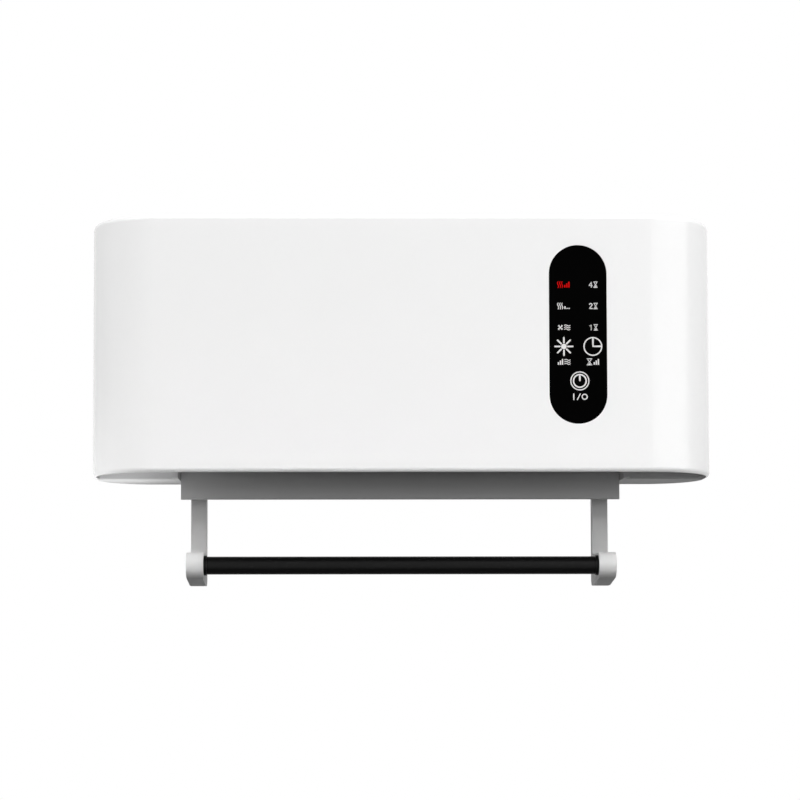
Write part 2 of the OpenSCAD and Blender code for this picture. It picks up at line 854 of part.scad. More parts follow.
module heating_bars() {
    color([0.35, 0.33, 0.32]) for (i = [0 : bars - 1]) {
        y = core_y + fin_d + i * (fin_d + bar_t);
        box([-core_w / 2, core_w / 2], [y, y + bar_t], [element_z - bar_h / 2, element_z + bar_h / 2]);
    }
}

// each row is one folded strip of aluminium between two bars
module heating_fins() {
    pitch = 5;
    fin_t = 0.6;
    n = floor((core_w - 4) / pitch);
    start = -n * pitch / 2;
    color([0.82, 0.83, 0.84]) for (row = [0 : bars]) {
        y = core_y + row * (fin_d + bar_t);
        translate([0, 0, element_z - fin_h / 2]) linear_extrude(fin_h) difference() {
            translate([start, y]) square([n * pitch, fin_d]);
            for (i = [0 : n - 1]) {
                translate([start + i * pitch + fin_t, y + (i % 2 == 0 ? fin_t : -1)])
                    square([pitch - fin_t, fin_d - fin_t + 1]);
            }
        }
    }
}

module thermal_cutout() {
    z = taper_z + element_h + 8;
    color([0.8, 0.78, 0.72]) {
        rod_x(-end_x - 7, -end_x, fan_y, z, 8);
        box([-end_x - 1, -end_x], [fan_y - 12, fan_y + 12], [z - 4, z + 4]);
        for (y = [fan_y - 4, fan_y + 4]) {
            box([-end_x - 14, -end_x - 7 + join], [y - 0.4, y + 0.4], [z - 3, z + 3]);
        }
    }
}

// ---------------------------------------------------------------- outlet

module outlet_grille() {
    pitch = 9;
    depth = 3;
    n = floor((duct_w - 10) / pitch / 2);
    y0 = mouth_front_y;
    y1 = mouth_back_y;
    side = 6;
    color([0.15, 0.15, 0.16]) difference() {
        box([-duct_w / 2 - side, duct_w / 2 + side], [y0, y1 + 1.5], [ceiling_z - depth, ceiling_z]);
        for (i = [-n : n]) {
            box([i * pitch - pitch / 2 + 0.8, i * pitch + pitch / 2 - 0.8], [y0 + 2, y1 - 2],
                [ceiling_z - depth - 1, ceiling_z + 1]);
        }
    }
}

module outlet_flap() {
    length = pivot_h + flap_drop;
    barrel_r = pin_r + 0.5;
    color([0.5, 0.5, 0.51]) union() {
        along_x(-flap_w / 2, flap_w / 2) translate([pivot_y, pivot_z]) {
            circle(barrel_r);
            translate([-flap_t / 2, -length + flap_t / 2]) square([flap_t, length - flap_t / 2]);
            translate([0, -length + flap_t / 2]) circle(flap_t / 2);
        }
        both_sides() rod_x(flap_w / 2 - 1, outlet_w / 2 + wall, pivot_y, pivot_z, pin_r);
    }
}

// ---------------------------------------------------------------- electrics

module power_board() {
    color([0.1, 0.35, 0.2]) difference() {
        box([supply_x - supply_w / 2, supply_x + supply_w / 2], [supply_y - pcb_t, supply_y],
            [supply_z - supply_h / 2, supply_z + supply_h / 2]);
        at_supply_posts() rod_y(0, supply_y - pcb_t - 1, supply_y + 1, 0, small_screw[3]);
    }
}

// a place on the front of the power board
module on_supply(x, z) {
    translate([supply_x + x, supply_y - pcb_t, supply_z + z]) children();
}

// a block on the front of the power board, of width w, depth d and height h
module on_board_block(w, d, h) {
    box([-w / 2, w / 2], [-d, 0], [-h / 2, h / 2]);
}

module relays() {
    relay_h = 15;
    color([0.1, 0.2, 0.45]) for (i = [0 : 2]) {
        on_supply(-8, -26 + i * (relay_h + 3)) on_board_block(16, 15, relay_h);
    }
}

module transformer() {
    core_l = 16;
    color([0.85, 0.75, 0.2]) on_supply(-4, 30) {
        on_board_block(22, core_l, 16);
        on_board_block(14, core_l + 2, 10);
    }
}

module capacitors() {
    color([0.15, 0.15, 0.2]) {
        on_supply(12, -24) rod_y(0, -14, 0, 0, 5);
        on_supply(12, -10) rod_y(0, -12, 0, 0, 4);
        on_supply(12, 6) on_board_block(7, 11, 14);
    }
}

module terminal_block() {
    x = -post_x + 5;
    z = foot_z[0] - 14.5;
    color([0.9, 0.9, 0.88]) difference() {
        box([x - 12, x + 12], [back_in_y - 14, back_in_y], [z - 5.5, z + 5.5]);
        for (i = [-1, 0, 1]) {
            rod_y(x + i * 7.6, back_in_y - 15, back_in_y - 6, z, 2.4);
            rod_z(x + i * 7.6, back_in_y - 4, z - 7, z + 7, 1.6);
        }
    }
}

module cable_grommet() {
    color([0.1, 0.1, 0.1]) difference() {
        union() {
            rod_y(grommet_x, -wall - 4, -0.5, grommet_z, grommet_r - 1 - screw_gap);
            rod_y(grommet_x, -wall - 4, -wall - 2, grommet_z, grommet_r + 1);
        }
        rod_y(grommet_x, -wall - 5, 1, grommet_z, cable_r);
    }
}

// ---------------------------------------------------------------- wall plate and rack

module wall_plate() {
    color([0.7, 0.71, 0.72]) {
        difference() {
            box([-plate_w / 2, plate_w / 2], [-plate_t, 0], [-plate_h / 2, plate_h / 2]);
            for (x = [-1, 1], z = [-1, 1]) {
                rod_y(x * screw_dx / 2, -plate_t - 1, 1, z * screw_dz / 2, screw_r);
            }
            box([-plate_window[0] / 2, plate_window[0] / 2], [-plate_t - 1, 1],
                [-plate_window[1] / 2, plate_window[1] / 2]);
        }
        for (s = [-1, 1]) {
            x = [s * hook_x - hook_w / 2, s * hook_x + hook_w / 2];
            y_tip = pan_y - pan_t - 1 - plate_t;
            box(x, [y_tip, -plate_t / 2], [hook_z, hook_z + plate_t]);
            box(x, [y_tip, y_tip + plate_t], [hook_z, hook_z + hook_rise]);
        }
    }
}

// side views of an arm: the upright strip, the socket, and the foot that joins them
arm_back = -arm_gap;
arm_front = arm_back - arm_t;
foot_top = bar_z + socket_r;
bar_screw_l = 12;
heel = 6;
arm_fillet = 5;
socket_lip = 0.8;

module arm_strip() {
    translate([arm_front, bar_z]) square([arm_t, arm_top - bar_z]);
}

module arm_foot() {
    polygon([[bar_y, foot_top], [arm_back, foot_top], [arm_back, arm_bottom + heel],
        [arm_back - heel, arm_bottom], [bar_y * 0.42, arm_bottom], [bar_y - 0.6, bar_z - socket_r]]);
}

module arm_inner_corner() {
    difference() {
        translate([arm_front - arm_fillet, foot_top - 1]) square(arm_fillet + 1);
        translate([arm_front - arm_fillet, foot_top + arm_fillet]) circle(arm_fillet);
    }
}

module towel_arm(s) {
    inner = arm_x - arm_w / 2;
    outer = arm_x + arm_w / 2;
    color([0.9, 0.9, 0.9]) mirror([s < 0 ? 1 : 0, 0, 0]) difference() {
        union() {
            along_x(inner, outer) {
                arm_strip();
                arm_foot();
                translate([arm_back - heel, arm_bottom + heel]) circle(heel);
                arm_inner_corner();
            }
            rod_x(inner - socket_lip, outer, bar_y, bar_z, socket_r);
        }
        rod_x(inner - 1, inner + bar_in + fit_gap, bar_y, bar_z, bar_r + screw_gap);
        rod_x(inner, outer + 1, bar_y, bar_z, large_screw[3]);
        rod_x(outer - large_screw[2], outer + 1, bar_y, bar_z, large_screw[1] + fit_gap);
        for (z = arm_screw_z) {
            rod_y(arm_x, -arm_gap - arm_t - 1, 0, z, large_screw[3]);
            rod_y(arm_x, -arm_gap - arm_head, 0, z, large_screw[1] + fit_gap);
        }
    }
}

module towel_arm_left() {
    towel_arm(-1);
}

module towel_arm_right() {
    towel_arm(1);
}

// the bar, with a collar that stops against each arm
module towel_bar() {
    inner = arm_x - arm_w / 2 - socket_lip;
    half = arm_x - arm_w / 2 + bar_in;
    collar_l = 2.2;
    collar_t = 0.8;
    color([0.06, 0.06, 0.06]) difference() {
        union() {
            rod_x(-half, half, bar_y, bar_z, bar_r);
            both_sides() rod_x(inner - collar_l, inner, bar_y, bar_z, bar_r + collar_t);
        }
        both_sides() rod_x(half - bar_screw_l, half + 1, bar_y, bar_z, large_screw[0] + screw_gap);
    }
}

// ---------------------------------------------------------------- screws

module housing_screws() {
    color([0.72, 0.72, 0.74]) at_posts() screw_to_front(floor_y, large_screw, post_screw_l);
}

module panel_screws() {
    color([0.15, 0.15, 0.15]) at_panel_bosses() translate([0, 0, panel_z]) rotate([180, 0, 0])
        screw(panel_screw, boss_l - 2);
}

module board_screws() {
    color([0.72, 0.72, 0.74]) at_board_posts()
        screw_to_front(board_y + pcb_t, small_screw, baffle_t);
}

module case_screws() {
    color([0.72, 0.72, 0.74]) at_feet() screw_to_back(foot_y - foot_t, large_screw, foot_boss + 1);
}

module power_board_screws() {
    color([0.72, 0.72, 0.74]) at_supply_posts()
        screw_to_back(supply_y - pcb_t, small_screw, supply_post - 4);
}

module arm_screws() {
    l = arm_t - arm_head + wall + arm_boss_l - 1.5;
    color([0.72, 0.72, 0.74]) both_sides() for (z = arm_screw_z) {
        translate([arm_x, 0, z]) screw_to_front(-arm_gap - arm_head, large_screw, l);
    }
}

module bar_screws() {
    outer = arm_x + arm_w / 2;
    color([0.9, 0.9, 0.9]) both_sides() translate([outer - large_screw[2], bar_y, bar_z])
        rotate([0, 90, 0]) screw(large_screw, bar_screw_l);
}

// ---------------------------------------------------------------- drawing

front_cover();
rear_housing();
bottom_panel();
inlet_grille();
dust_filter();
control_lens();
light_baffle();
control_board();
indicator_lamps();
touch_pads();
scroll_case();
air_tongue();
fan_wheel();
fan_shafts();
fan_bearing();
bearing_seat();
fan_motor();
motor_bracket();
heating_bars();
heating_fins();
element_frame();
thermal_cutout();
outlet_grille();
outlet_flap();
power_board();
relays();
transformer();
capacitors();
terminal_block();
cable_grommet();
wall_plate();
towel_arm_left();
towel_arm_right();
towel_bar();
housing_screws();
panel_screws();
board_screws();
case_screws();
power_board_screws();
arm_screws();
bar_screws();
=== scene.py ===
"""A wall fan heater with a towel rack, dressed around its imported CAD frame. Units are metres."""

import json
import math

import bmesh
import bpy
from mathutils import Matrix, Vector

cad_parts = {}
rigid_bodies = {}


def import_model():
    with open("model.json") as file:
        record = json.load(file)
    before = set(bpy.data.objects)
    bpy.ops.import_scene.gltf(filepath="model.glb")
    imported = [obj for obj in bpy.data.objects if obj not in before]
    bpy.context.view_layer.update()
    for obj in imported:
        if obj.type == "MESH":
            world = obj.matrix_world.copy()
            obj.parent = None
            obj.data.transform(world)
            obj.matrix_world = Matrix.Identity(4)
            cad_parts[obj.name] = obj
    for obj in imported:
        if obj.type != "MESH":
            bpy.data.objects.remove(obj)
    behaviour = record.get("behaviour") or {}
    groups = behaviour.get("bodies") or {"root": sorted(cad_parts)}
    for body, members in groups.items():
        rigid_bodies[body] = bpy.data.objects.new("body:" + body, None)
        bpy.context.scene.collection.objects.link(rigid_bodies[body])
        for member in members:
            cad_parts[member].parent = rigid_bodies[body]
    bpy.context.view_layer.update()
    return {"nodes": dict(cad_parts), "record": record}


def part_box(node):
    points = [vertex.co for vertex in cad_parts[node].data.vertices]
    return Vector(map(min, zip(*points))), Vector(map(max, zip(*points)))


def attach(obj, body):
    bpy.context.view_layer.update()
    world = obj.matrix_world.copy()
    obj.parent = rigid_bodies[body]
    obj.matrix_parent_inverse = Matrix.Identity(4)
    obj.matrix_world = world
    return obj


MM = 0.001

for stray in list(bpy.data.objects):
    bpy.data.objects.remove(stray, do_unlink=True)
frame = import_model()
scene = bpy.context.scene
scene.view_settings.view_transform = "Standard"


# ---------------------------------------------------------------- camera

CAMERA_PLACE = (-0.0402, -1.4896, -0.2218)
CAMERA_YAW, CAMERA_PITCH, CAMERA_ROLL = -0.399, 2.8, -0.089
CAMERA_LENS, CAMERA_SENSOR = 88.45, 36
CAMERA_SHIFT = (0.05, 0.2)

view = bpy.data.cameras.new("view")
view.lens = CAMERA_LENS
view.sensor_width = CAMERA_SENSOR
view.shift_x, view.shift_y = CAMERA_SHIFT
view.clip_end = 100
camera = bpy.data.objects.new("view", view)
turns = (
    Matrix.Rotation(math.radians(CAMERA_YAW), 3, "Z"),
    Matrix.Rotation(math.radians(90 + CAMERA_PITCH), 3, "X"),
    Matrix.Rotation(math.radians(CAMERA_ROLL), 3, "Z"),
)
camera.location = CAMERA_PLACE
camera.rotation_euler = (turns[0] @ turns[1] @ turns[2]).to_euler()
scene.collection.objects.link(camera)
scene.camera = camera


# ---------------------------------------------------------------- materials

# sockets of a Mix node that blends colours
MIX_FACTOR, MIX_LOW, MIX_HIGH, MIX_RESULT = 0, 6, 7, 2


class Nodes:
    """The node tree of a material or of the world, emptied to be built anew."""

    def __init__(self, owner):
        owner.use_nodes = True
        self.tree = owner.node_tree
        self.tree.nodes.clear()

    def add(self, kind, **facts):
        node = self.tree.nodes.new(kind)
        for key, value in facts.items():
            setattr(node, key, value)
        return node

    def join(self, value, socket):
        """Links a node's output to a socket, or writes a plain value there."""
        if isinstance(value, bpy.types.NodeSocket):
            self.tree.links.new(value, socket)
        else:
            socket.default_value = value

    def feed(self, node, **values):
        """Joins values to a node's inputs by name, with spaces written as underscores."""
        for key, value in values.items():
            self.join(value, node.inputs[key.replace("_", " ")])
        return node


class Shade(Nodes):
    """One Principled material: procedural nodes drive its colour, roughness and relief."""

    def __init__(self, name, metal=0.0, level=0.5, coat=0.0, coat_rough=0.05):
        self.mat = bpy.data.materials.new(name)
        super().__init__(self.mat)
        self.bsdf = self.add("ShaderNodeBsdfPrincipled")
        out = self.add("ShaderNodeOutputMaterial")
        self.join(self.bsdf.outputs[0], out.inputs[0])
        self.coords = self.add("ShaderNodeTexCoord").outputs["Object"]
        self.relief = None
        self.feed(self.bsdf, Metallic=metal, Specular_IOR_Level=level)
        self.feed(self.bsdf, Coat_Weight=coat, Coat_Roughness=coat_rough)

    def place(self, stretch):
        node = self.add("ShaderNodeMapping")
        return self.feed(node, Vector=self.coords, Scale=stretch).outputs[0]

    def noise(self, scale, detail=3.0, rough=0.5, stretch=(1, 1, 1)):
        """Cloudy noise in object space; a greater stretch packs it closer along that axis."""
        node = self.add("ShaderNodeTexNoise")
        self.feed(node, Vector=self.place(stretch), Scale=scale, Detail=detail, Roughness=rough)
        return node.outputs["Fac"]

    def cells(self, scale, feature="F1", output="Distance", stretch=(1, 1, 1)):
        """A pattern of cells, as their colours or as the distance to their edges."""
        node = self.add("ShaderNodeTexVoronoi", feature=feature)
        return self.feed(node, Vector=self.place(stretch), Scale=scale).outputs[output]

    def span(self, value, low, high, start=0.3, end=0.7):
        """value, stretched from start..end to low..high."""
        node = self.add("ShaderNodeMapRange", clamp=True)
        self.feed(node, Value=value, From_Min=start, From_Max=end, To_Min=low, To_Max=high)
        return node.outputs[0]

    def blend(self, value, low, high):
        """The colour from low to high that a value picks."""
        node = self.add("ShaderNodeMix", data_type="RGBA")
        self.join(value, node.inputs[MIX_FACTOR])
        for entry, socket in ((low, MIX_LOW), (high, MIX_HIGH)):
            self.join((*entry, 1) if isinstance(entry, tuple) else entry, node.inputs[socket])
        return node.outputs[MIX_RESULT]

    def color(self, entry):
        self.feed(self.bsdf, Base_Color=entry)

    def rough(self, value, low, high):
        """Roughness that a noise moves between low and high."""
        self.feed(self.bsdf, Roughness=self.span(value, low, high))

    def bump(self, height, depth):
        """Adds relief of that depth in metres on top of what is there."""
        node = self.add("ShaderNodeBump")
        self.feed(node, Height=height, Distance=depth)
        if self.relief:
            self.feed(node, Normal=self.relief)
        self.relief = node.outputs[0]
        self.feed(self.bsdf, Normal=self.relief)


def tint(color, factor):
    return tuple(min(1.0, c * factor) for c in color)


# noise scales of the slow tone and of the roughness, how far roughness swings, relief in metres
SLOW_SCALE, ROUGH_SCALE = 9, 60
ROUGH_SWING = 0.035
COAT_ROUGH = 0.06
INK_RELIEF = METAL_RELIEF = 0.000004


def moulded(name, color, rough, grain, depth, vary, level=0.5, coat=0.0):
    """Moulded plastic: slow shifts of tone, and a grain that sets how fine its texture is."""
    s = Shade(name, level=level, coat=coat, coat_rough=COAT_ROUGH)
    slow = s.noise(SLOW_SCALE, 2)
    fine = s.noise(grain, 3, 0.6)
    tone = s.blend(s.span(slow, 0, 1), tint(color, 1 - vary), tint(color, 1 + vary))
    s.color(s.blend(s.span(fine, 0, 1), tone, tint(color, 1 - vary * 0.5)))
    s.rough(s.noise(ROUGH_SCALE, 3), rough - ROUGH_SWING, rough + ROUGH_SWING)
    s.bump(fine, depth)
    return s


def metal(name, color, rough, stretch, scale, depth=METAL_RELIEF):
    """Metal with a fine brush whose lines follow the axis that is stretched least."""
    s = Shade(name, metal=1.0)
    lines = s.noise(scale, 4, 0.6, stretch)
    slow = s.noise(25, 3)
    tone = s.blend(s.span(slow, 0, 1), tint(color, 0.9), tint(color, 1.06))
    s.color(s.blend(s.span(lines, 0, 1), tone, tint(color, 0.86)))
    s.rough(lines, rough - 0.07, rough + 0.07)
    s.bump(lines, depth)
    return s


def spangled(name, color, rough, scale):
    """Zinc-coated sheet with its crystal pattern."""
    s = Shade(name, metal=1.0)
    crystals = s.cells(scale, output="Color")
    gray = s.add("ShaderNodeRGBToBW")
    s.feed(gray, Color=crystals)
    s.color(s.blend(gray.outputs[0], tint(color, 0.84), tint(color, 1.08)))
    s.rough(gray.outputs[0], rough - 0.08, rough + 0.1)
    s.bump(s.noise(900, 3), METAL_RELIEF)
    return s


def printed(name, color, glow):
    """Ink or a lit window in the lens, a little uneven as a screen print is."""
    s = Shade(name, level=0.05)
    s.color(s.blend(s.span(s.noise(900, 2), 0, 1), tint(color, 0.93), color))
    s.rough(s.noise(400, 2), 0.35, 0.5)
    s.bump(s.noise(1500, 2), INK_RELIEF)
    if glow:
        s.feed(s.bsdf, Emission_Color=(*color, 1), Emission_Strength=glow)
    return s


# name, colour, roughness, grain, depth of the grain, shift of tone, specular level, coat
MOULDED = (
    ("white_shell", (0.86, 0.86, 0.86), 0.2, 420, 0.000006, 0.006, 0.5, 0.35),
    ("white_rear", (0.84, 0.84, 0.838), 0.55, 1400, 0.000012, 0.01, 0.05),
    ("dark_panel", (0.74, 0.74, 0.742), 0.62, 1500, 0.00003, 0.05, 0.2),
    ("black_lens", (0.0005, 0.0005, 0.0005), 0.09, 160, 0.000002, 0.2, 0.01),
    ("grey_flap", (0.66, 0.66, 0.662), 0.45, 1300, 0.000018, 0.04, 0.3),
    ("arm_white", (0.74, 0.74, 0.738), 0.5, 1100, 0.00001, 0.02, 0.02),
    ("bar_black", (0.004, 0.004, 0.004), 0.32, 1200, 0.00001, 0.15, 0.14),
    ("screw_white", (0.66, 0.66, 0.655), 0.3, 1100, 0.000008, 0.03),
    ("bar_ceramic", (0.13, 0.12, 0.115), 0.6, 500, 0.00003, 0.12),
    ("frame_tan", (0.48, 0.4, 0.24), 0.5, 600, 0.00003, 0.12),
    ("fan_grey", (0.1, 0.105, 0.115), 0.42, 900, 0.00001, 0.08),
    ("rubber_black", (0.02, 0.02, 0.021), 0.75, 1200, 0.00002, 0.2, 0.3),
    ("lamp_clear", (0.7, 0.25, 0.2), 0.15, 800, 0.000004, 0.08, 0.5, 0.5),
    ("baffle_white", (0.72, 0.72, 0.72), 0.55, 1200, 0.000015, 0.03),
    ("relay_blue", (0.012, 0.055, 0.25), 0.28, 900, 0.00001, 0.08),
    ("coil_yellow", (0.62, 0.47, 0.07), 0.32, 700, 0.00001, 0.08),
    ("capacitor_dark", (0.03, 0.03, 0.055), 0.3, 900, 0.000008, 0.1),
    ("terminal_white", (0.68, 0.68, 0.64), 0.45, 1000, 0.000015, 0.04),
    ("filter_grey", (0.06, 0.06, 0.066), 0.6, 1500, 0.00003, 0.1),
)
# name, colour, roughness, stretch of the brush, its scale, depth of the relief
METALS = (
    ("screw_black", (0.05, 0.05, 0.05), 0.45, (1, 1, 1), 900),
    ("screw_steel", (0.62, 0.62, 0.63), 0.32, (1, 1, 1), 600),
    ("fin_aluminium", (0.8, 0.81, 0.82), 0.3, (8, 8, 1), 300),
    ("bronze", (0.6, 0.38, 0.18), 0.45, (1, 1, 1), 1200, 0.00001),
)
# name, colour, roughness, scale of the crystals
SPANGLED = (
    ("zinc_steel", (0.6, 0.61, 0.62), 0.36, 110),
    ("duct_steel", (0.63, 0.635, 0.64), 0.4, 90),
)
# name, colour, strength of the glow
PRINTED = (
    ("glyph_white", (0.74, 0.74, 0.74), 0.0),
    ("glyph_red", (0.55, 0.001, 0.001), 0.1),
)


def board_shade():
    """Solder mask over copper tracks."""
    s = Shade("board_green", level=0.5, coat=0.4, coat_rough=0.15)
    tracks = s.cells(260, feature="DISTANCE_TO_EDGE", stretch=(1, 1, 1.6))
    mask = s.span(tracks, 1, 0, 0.06, 0.09)
    s.color(s.blend(mask, (0.012, 0.1, 0.045), (0.03, 0.2, 0.08)))
    s.rough(s.noise(300, 3), 0.28, 0.4)
    s.bump(mask, 0.00003)
    return s


shades = {"board_green": board_shade()}
for build, rows in (moulded, MOULDED), (metal, METALS), (spangled, SPANGLED), (printed, PRINTED):
    for row in rows:
        shades[row[0]] = build(*row)

for part in frame["record"]["subparts"]:
    node = frame["nodes"][part["node"]]
    node.data.materials.clear()
    node.data.materials.append(shades[part["material_slot"]].mat)


# ---------------------------------------------------------------- meshes


def add_piece(name, mesh, body, slot, shade=None):
    """A new piece in the row frame, on a body, with the named shade, or else the shade kept under
    the slot's name.
    """
    obj = bpy.data.objects.new(name, mesh)
    scene.collection.objects.link(obj)
    mesh.materials.clear()
    mesh.materials.append(shades[shade or slot].mat)
    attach(obj, body)
    return obj


class Print:
    """Flat marks in X and Z, raised a little from a face that looks along -Y."""

    THICK = 0.1 * MM
    END_STEPS, DISC_STEPS, RING_STEPS = 6, 28, 48

    def __init__(self, face_y):
        self.bm = bmesh.new()
        self.face_y = face_y

    def fill(self, points):
        """One closed outline, in metres, carried forwards by the thickness of the print."""
        ring = list(points)
        area = sum(a[0] * b[1] - b[0] * a[1] for a, b in zip(ring, ring[1:] + ring[:1]))
        if area < 0:
            ring.reverse()
        front = [self.bm.verts.new((x, self.face_y - self.THICK, z)) for x, z in ring]
        back = [self.bm.verts.new((x, self.face_y, z)) for x, z in ring]
        self.bm.faces.new(front)
        self.bm.faces.new(list(reversed(back)))
        for i in range(len(ring)):
            j = (i + 1) % len(ring)
            self.bm.faces.new((front[j], front[i], back[i], back[j]))

    def line(self, points, width):
        """A stroke of even width along points, with round ends."""
        half = width / 2
        left, right = [], []
        count = len(points)
        for i, p in enumerate(points):
            a = Vector(points[max(i - 1, 0)])
            b = Vector(points[min(i + 1, count - 1)])
            d = (b - a).normalized()
            n = Vector((-d.y, d.x)) * half
            left.append((p[0] + n.x, p[1] + n.y))
            right.append((p[0] - n.x, p[1] - n.y))
        self.fill(left + self.cap(points[-1], points[-2], half)
                  + right[::-1] + self.cap(points[0], points[1], half))

    def cap(self, end, inner, half):
        """The points of a round end, from the stroke's left side to its right side."""
        turn = math.atan2(end[1] - inner[1], end[0] - inner[0])
        steps = self.END_STEPS
        angles = [turn + math.pi / 2 - math.pi * (k + 1) / (steps + 1) for k in range(steps)]
        return [(end[0] + half * math.cos(a), end[1] + half * math.sin(a)) for a in angles]

    def disc(self, x, z, radius):
        turns = [2 * math.pi * k / self.DISC_STEPS for k in range(self.DISC_STEPS)]
        self.fill([(x + radius * math.cos(a), z + radius * math.sin(a)) for a in turns])

    def ring(self, x, z, radius, width):
        """A ring, split into quads so that it can close on itself."""
        inner, outer = radius - width / 2, radius + width / 2
        rows = []
        for k in range(self.RING_STEPS):
            a = math.radians(360 * k / self.RING_STEPS)
            c, s = math.cos(a), math.sin(a)
            rows.append([
                self.bm.verts.new((x + r * c, y, z + r * s))
                for r in (outer, inner) for y in (self.face_y - self.THICK, self.face_y)
            ])
        for a, b in zip(rows, rows[1:] + rows[:1]):
            self.bm.faces.new((a[0], b[0], b[2], a[2]))
            self.bm.faces.new((a[1], a[3], b[3], b[1]))
            self.bm.faces.new((a[0], a[1], b[1], b[0]))
            self.bm.faces.new((a[2], b[2], b[3], a[3]))

    def make(self, name):
        bmesh.ops.recalc_face_normals(self.bm, faces=self.bm.faces[:])
        mesh = bpy.data.meshes.new(name)
        self.bm.to_mesh(mesh)
        self.bm.free()
        return mesh


# ---------------------------------------------------------------- marks on the control lens

lens_low, lens_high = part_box("control_lens")
LENS_X = (lens_low.x + lens_high.x) / 2
LENS_Z = (lens_low.z + lens_high.z) / 2
LENS_FACE = lens_low.y
# millimetres from the middle of the lens
COLUMNS = (-10.1, 10.9)
ROWS = (35.5, 20.2, 4.9)
KEY_ROW, LABEL_ROW = -8.7, -19.7
CLOCK_X = 10.45
POWER_SPOT, SWITCH_SPOT = (1.05, -33.3), (1.0, -44.6)
# how much smaller the small signs are, and half the distance between the two of a pair
SMALL, LABEL = 0.86, 0.94
PAIR, HOUR_PAIR = 2.6, 2.0
# width of a stroke and of most signs, spacing of bars and wisps, swing of a wave
STROKE = 0.75
SIGN_WIDE = 4.2
PITCH = 1.55
RIPPLE = 0.42
# one vane of the small fan: share of its radius, lead in radians
VANE = ((0.25, 0), (0.6, 0.35), (1.0, 0.5), (1.0, 1.15), (0.6, 1.1), (0.25, 0.9))


class Marks(Print):
    """The same, drawn in millimetres about a place on the lens."""

    def __init__(self):
        super().__init__(LENS_FACE)
        self.at(0, 0)

    def at(self, x, z, size=1.0):
        self.x, self.z, self.size = x, z, size

    def spot(self, point):
        return (LENS_X + (self.x + point[0] * self.size) * MM,
                LENS_Z + (self.z + point[1] * self.size) * MM)

    def stroke(self, points, width=STROKE):
        self.line([self.spot(p) for p in points], width * self.size * MM)

    def area(self, points):
        self.fill([self.spot(p) for p in points])

    def hoop(self, radius, width=STROKE, center=(0, 0)):
        self.ring(*self.spot(center), radius * self.size * MM, width * self.size * MM)

    def dot(self, radius, center=(0, 0)):
        self.disc(*self.spot(center), radius * self.size * MM)

    def wave(self, x, height, steps=14):
        """One rising wisp of warm air."""
        points = [(x + RIPPLE * math.sin(2 * math.pi * k / steps), height * (k / steps - 0.5))
                  for k in range(steps + 1)]
        self.stroke(points, 0.6)

    def waves(self, x, count, height=4.6):
        for k in range(count):
            self.wave(x + (k - (count - 1) / 2) * PITCH, height)

    def bars(self, x, count, tall=4.4):
        """Bars that grow from left to right; those beyond count are only short."""
        foot, wide = -tall / 2, 1.0
        for k in range(3):
            top = tall * (0.45 + 0.275 * k) if k < count else 0.7
            left = x - SIGN_WIDE / 2 + k * PITCH
            right = left + wide
            self.area([(left, foot), (right, foot), (right, top + foot), (left, top + foot)])

    def hourglass(self, x, wide=3.0, tall=4.6):
        """Two bars, two bent sides and a little sand at the bottom."""
        w, h = wide / 2, tall / 2
        for s in (-1, 1):
            self.stroke([(x - w, s * h), (x + w, s * h)], 0.62)
            self.stroke([(x - w * 0.72, s * h), (x - w * 0.6, s * h * 0.55), (x, 0)], 0.5)
            self.stroke([(x + w * 0.72, s * h), (x + w * 0.6, s * h * 0.55), (x, 0)], 0.5)
        self.area([(x - w * 0.5, -h * 0.9), (x + w * 0.5, -h * 0.9), (x, -h * 0.35)])

    def vane(self, x, radius=2.3, count=4):
        """A small fan with curved vanes."""
        for k in range(count):
            points = []
            for r, lead in VANE:
                a = 2 * math.pi * k / count + lead
                points.append((x + radius * r * math.cos(a), radius * r * math.sin(a)))
            self.area(points)
        self.dot(0.55, (x, 0))

    def breeze(self, x, apart=1.5, steps=12):
        """Three level waves of moving air."""
        for k in (-1, 0, 1):
            points = []
            for j in range(steps + 1):
                rise = RIPPLE * math.sin(2 * math.pi * j / steps)
                points.append((x - SIGN_WIDE / 2 + SIGN_WIDE * j / steps, apart * k + rise))
            self.stroke(points, 0.55)

    def rays(self, count=8, inner=2.8, outer=6.3):
        """Short rays about a dot, for the key that sets the heat."""
        for k in range(count):
            c, s = math.cos(2 * math.pi * k / count), math.sin(2 * math.pi * k / count)
            self.stroke([(inner * c, inner * s), (outer * c, outer * s)], 1.15)
        self.dot(1.95)

    def clock(self):
        """The timer key: a ring and two hands."""
        self.hoop(6.3, 0.9)
        self.stroke([(0.1, 5.2), (0.1, 0.1), (5.2, 0.1)], 1.3)

    def power(self):
        """The power key: two rings and a stroke."""
        self.hoop(6.4)
        self.hoop(4.5, 1.0)
        self.stroke([(0, 3.3), (0, 0.4)], 1.25)

    def switch(self):
        """The signs for on and off, with a slash between them."""
        self.stroke([(-4.6, 2.1), (-4.6, -2.1)], 0.9)
        self.stroke([(-1.9, -2.2), (0.3, 2.2)])
        self.hoop(1.9, 0.85, (3.6, 0))

    def four(self, x):
        self.stroke([(x + 0.55, 2.1), (x - 1.35, -0.85), (x + 1.35, -0.85)])
        self.stroke([(x + 0.6, 2.1), (x + 0.6, -2.1)])

    def two(self, x):
        arc = [(x + 1.1 * math.cos(math.radians(a)), 1.05 + 1.05 * math.sin(math.radians(a)))
               for a in range(165, -50, -15)]
        self.stroke(arc + [(x - 1.2, -2.05)])
        self.stroke([(x - 1.2, -2.05), (x + 1.3, -2.05)])

    def one(self, x):
        self.stroke([(x - 0.85, 1.35), (x + 0.25, 2.1), (x + 0.25, -2.1)])


